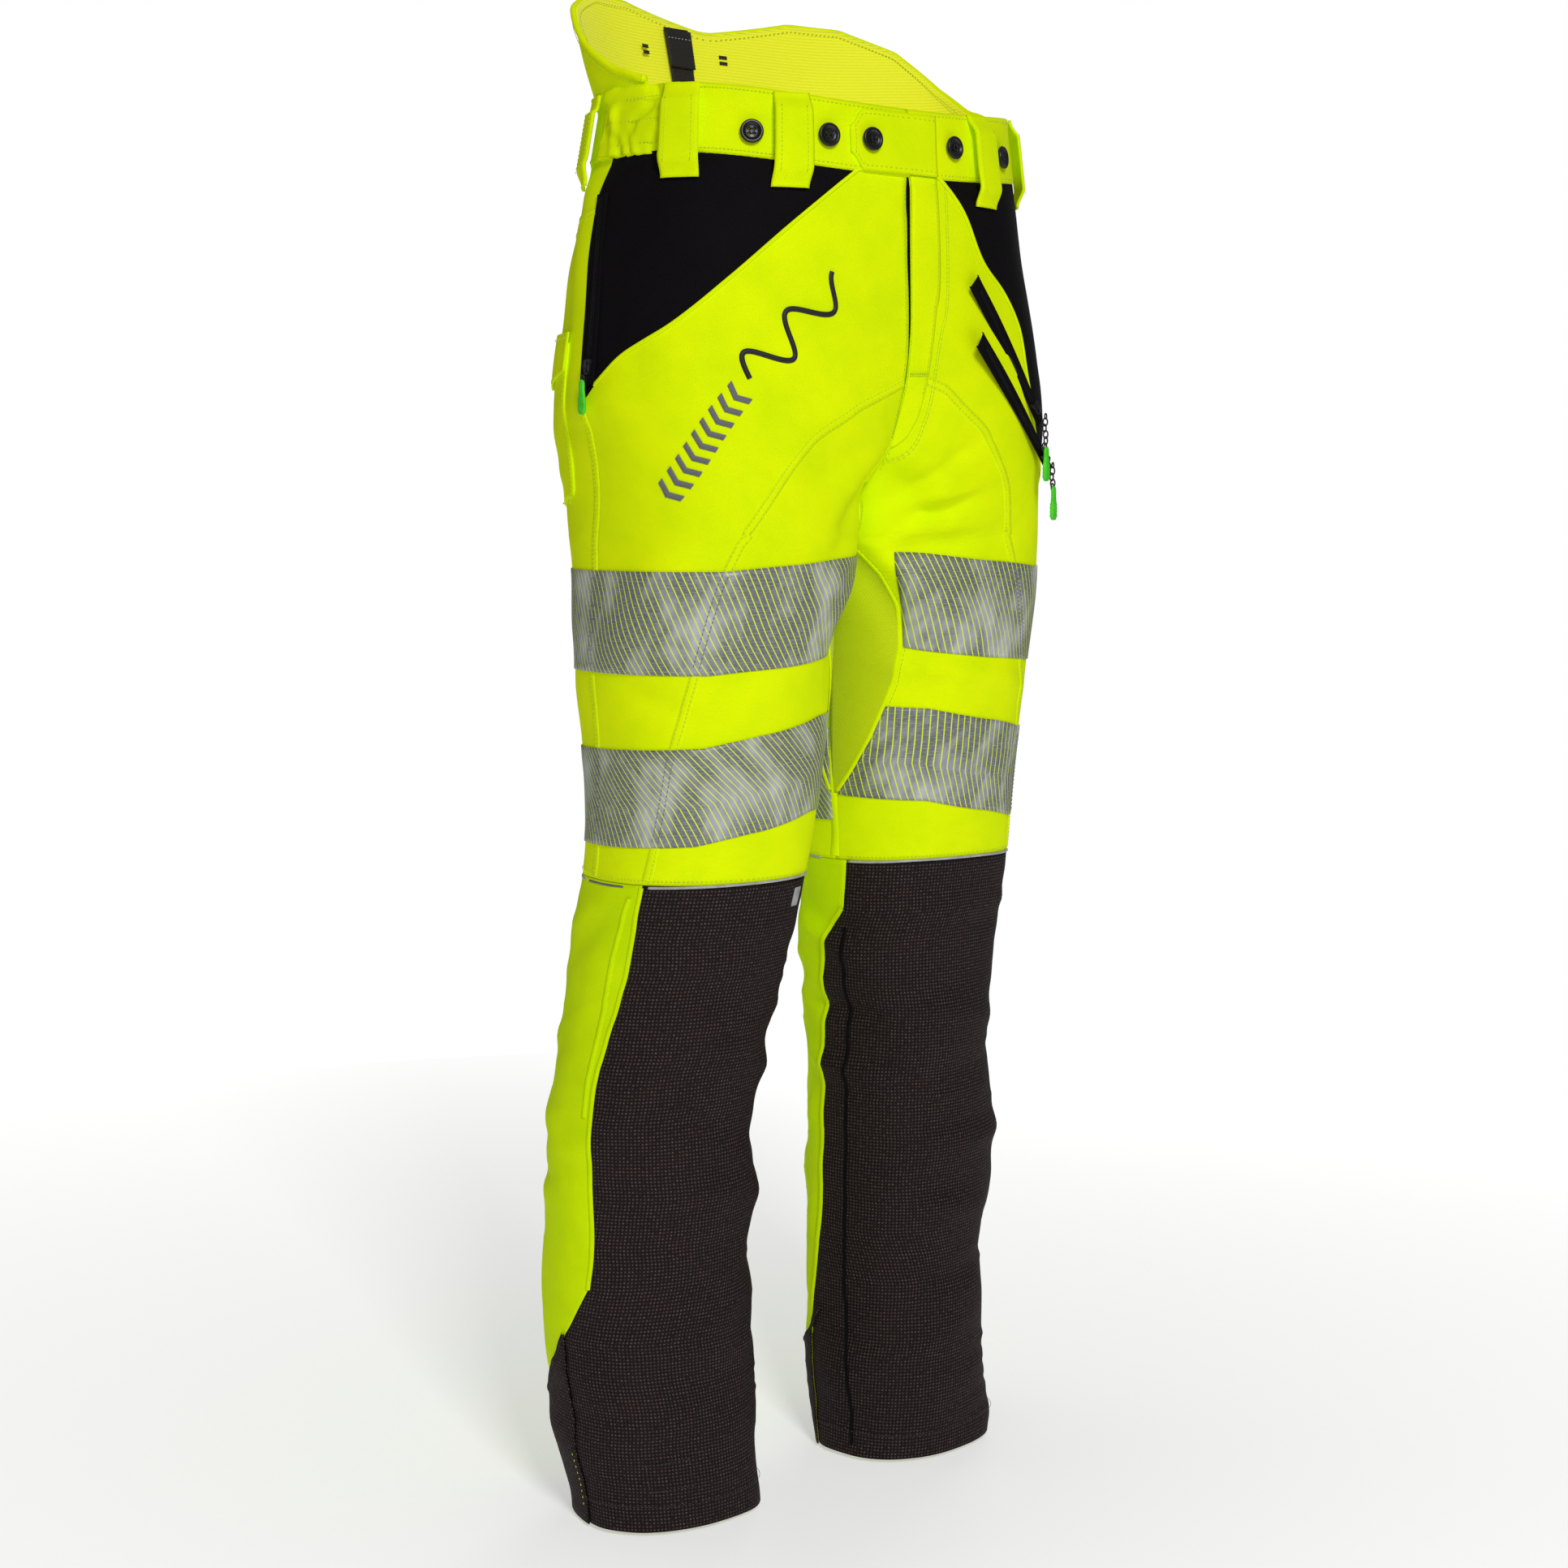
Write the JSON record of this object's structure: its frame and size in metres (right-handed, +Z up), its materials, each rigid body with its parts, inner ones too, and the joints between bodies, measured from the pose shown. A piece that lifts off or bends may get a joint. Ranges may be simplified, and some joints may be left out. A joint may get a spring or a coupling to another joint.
{
  "type": "chainsaw trousers",
  "caption": "Full-leg hi-vis chainsaw trousers with a high back, brace buttons, reflective leg bands, zipped vents and saw-protection pads inside the legs.",
  "frame": {"origin": "the middle of the waist opening, level with the front top edge of the waistband", "axes": "+Z up towards the waist, the wearer faces -Y, the wearer's right side is -X"},
  "size_m": [0.4458, 0.2773, 1.2208],
  "materials": {
    "hi_vis_yellow": "matte woven",
    "lining_mesh": "matte rib knit",
    "stretch_black": "matte stretch weave",
    "reflective_silver": "retroreflective tape",
    "ripstop_charcoal": "coarse matte weave",
    "gusset_mesh": "rib mesh",
    "pad_fibre": "layered loose fibre",
    "webbing_black": "woven webbing",
    "button_plastic": "gloss",
    "zip_coil": "matte",
    "zip_metal": "black enamel",
    "pull_rubber": "matte moulded"
  },
  "bodies": {
    "pelvis": {"back_button_1": "button_plastic", "back_button_2": "button_plastic", "back_strap": "webbing_black", "back_waistband": "hi_vis_yellow", "belt_loop_1": "hi_vis_yellow", "belt_loop_2": "hi_vis_yellow", "belt_loop_3": "hi_vis_yellow", "belt_loop_4": "hi_vis_yellow", "belt_loop_5": "hi_vis_yellow", "belt_loop_6": "hi_vis_yellow", "brace_button_1": "button_plastic", "brace_button_2": "button_plastic", "brace_button_3": "button_plastic", "brace_button_4": "button_plastic", "crotch_gusset": "gusset_mesh", "fly_shield": "hi_vis_yellow", "fly_zip": "zip_coil", "high_back": "hi_vis_yellow", "high_back_lining": "lining_mesh", "left_front_panel": "hi_vis_yellow", "left_front_waistband": "hi_vis_yellow", "left_hip_panel": "stretch_black", "left_seat_panel": "hi_vis_yellow", "left_side_elastic": "hi_vis_yellow", "lower_vent_zip": "zip_coil", "pocket_zip": "zip_coil", "right_back_pocket": "hi_vis_yellow", "right_front_panel": "hi_vis_yellow", "right_front_waistband": "hi_vis_yellow", "right_hip_panel": "stretch_black", "right_seat_panel": "hi_vis_yellow", "right_side_elastic": "hi_vis_yellow", "upper_vent_zip": "zip_coil", "waist_button": "button_plastic", "waist_tab": "hi_vis_yellow"},
    "fly_slider": {"fly_slider": "zip_metal"},
    "left_shin": {"left_calf": "hi_vis_yellow", "left_shin_front": "ripstop_charcoal", "left_shin_pad": "pad_fibre"},
    "left_thigh": {"left_knee_fold": "hi_vis_yellow", "left_lower_band": "reflective_silver", "left_thigh_back": "hi_vis_yellow", "left_thigh_front": "hi_vis_yellow", "left_thigh_pad": "pad_fibre", "left_upper_band": "reflective_silver"},
    "lower_vent_pull": {"lower_vent_pull": "pull_rubber"},
    "lower_vent_slider": {"lower_vent_slider": "zip_metal"},
    "pocket_pull": {"pocket_pull": "pull_rubber"},
    "pocket_slider": {"pocket_slider": "zip_metal"},
    "right_shin": {"right_calf": "hi_vis_yellow", "right_shin_front": "ripstop_charcoal", "right_shin_pad": "pad_fibre"},
    "right_thigh": {"right_knee_fold": "hi_vis_yellow", "right_lower_band": "reflective_silver", "right_thigh_back": "hi_vis_yellow", "right_thigh_front": "hi_vis_yellow", "right_thigh_pad": "pad_fibre", "right_upper_band": "reflective_silver"},
    "upper_vent_pull": {"upper_vent_pull": "pull_rubber"},
    "upper_vent_slider": {"upper_vent_slider": "zip_metal"}
  },
  "joints": [
    {"name": "right_hip", "type": "hinge", "parent": "pelvis", "child": "right_thigh", "pos_m": [-0.1, 0, -0.23], "axis": [1, 0, 0], "range_deg": [-75, 15]},
    {"name": "right_knee", "type": "hinge", "parent": "right_thigh", "child": "right_shin", "pos_m": [-0.122, 0.02, -0.69], "axis": [1, 0, 0], "range_deg": [0, 90], "deforming": ["right_knee_fold"]},
    {"name": "left_hip", "type": "hinge", "parent": "pelvis", "child": "left_thigh", "pos_m": [0.1, 0, -0.23], "axis": [1, 0, 0], "range_deg": [-75, 15]},
    {"name": "left_knee", "type": "hinge", "parent": "left_thigh", "child": "left_shin", "pos_m": [0.122, 0.02, -0.69], "axis": [1, 0, 0], "range_deg": [0, 90], "deforming": ["left_knee_fold"]},
    {"name": "pocket_zip_run", "type": "slide", "parent": "pelvis", "child": "pocket_slider", "axis": [0.158, 0.0835, 0.9839], "range_m": [0, 0.1201]},
    {"name": "pocket_pull_swing", "type": "hinge", "parent": "pocket_slider", "child": "pocket_pull", "pos_m": [-0.21841, 0.00083, -0.20513], "axis": [0.0157, 0.9999, 0], "range_deg": [0, 85]},
    {"name": "upper_vent_zip_run", "type": "slide", "parent": "pelvis", "child": "upper_vent_slider", "axis": [-0.6339, -0.1071, 0.766], "range_m": [0, 0.074]},
    {"name": "upper_vent_pull_swing", "type": "hinge", "parent": "upper_vent_slider", "child": "upper_vent_pull", "pos_m": [0.14954, -0.11418, -0.2293], "axis": [-0.9629, -0.2698, 0], "range_deg": [0, 85]},
    {"name": "lower_vent_zip_run", "type": "slide", "parent": "pelvis", "child": "lower_vent_slider", "axis": [-0.7172, -0.1968, 0.6685], "range_m": [0, 0.1166]},
    {"name": "lower_vent_pull_swing", "type": "hinge", "parent": "lower_vent_slider", "child": "lower_vent_pull", "pos_m": [0.16666, -0.10842, -0.26854], "axis": [-0.9589, -0.2838, 0], "range_deg": [0, 85]},
    {"name": "fly_zip_run", "type": "slide", "parent": "pelvis", "child": "fly_slider", "axis": [0, 0.0237, -0.9997], "range_m": [0, 0.12]}
  ]
}
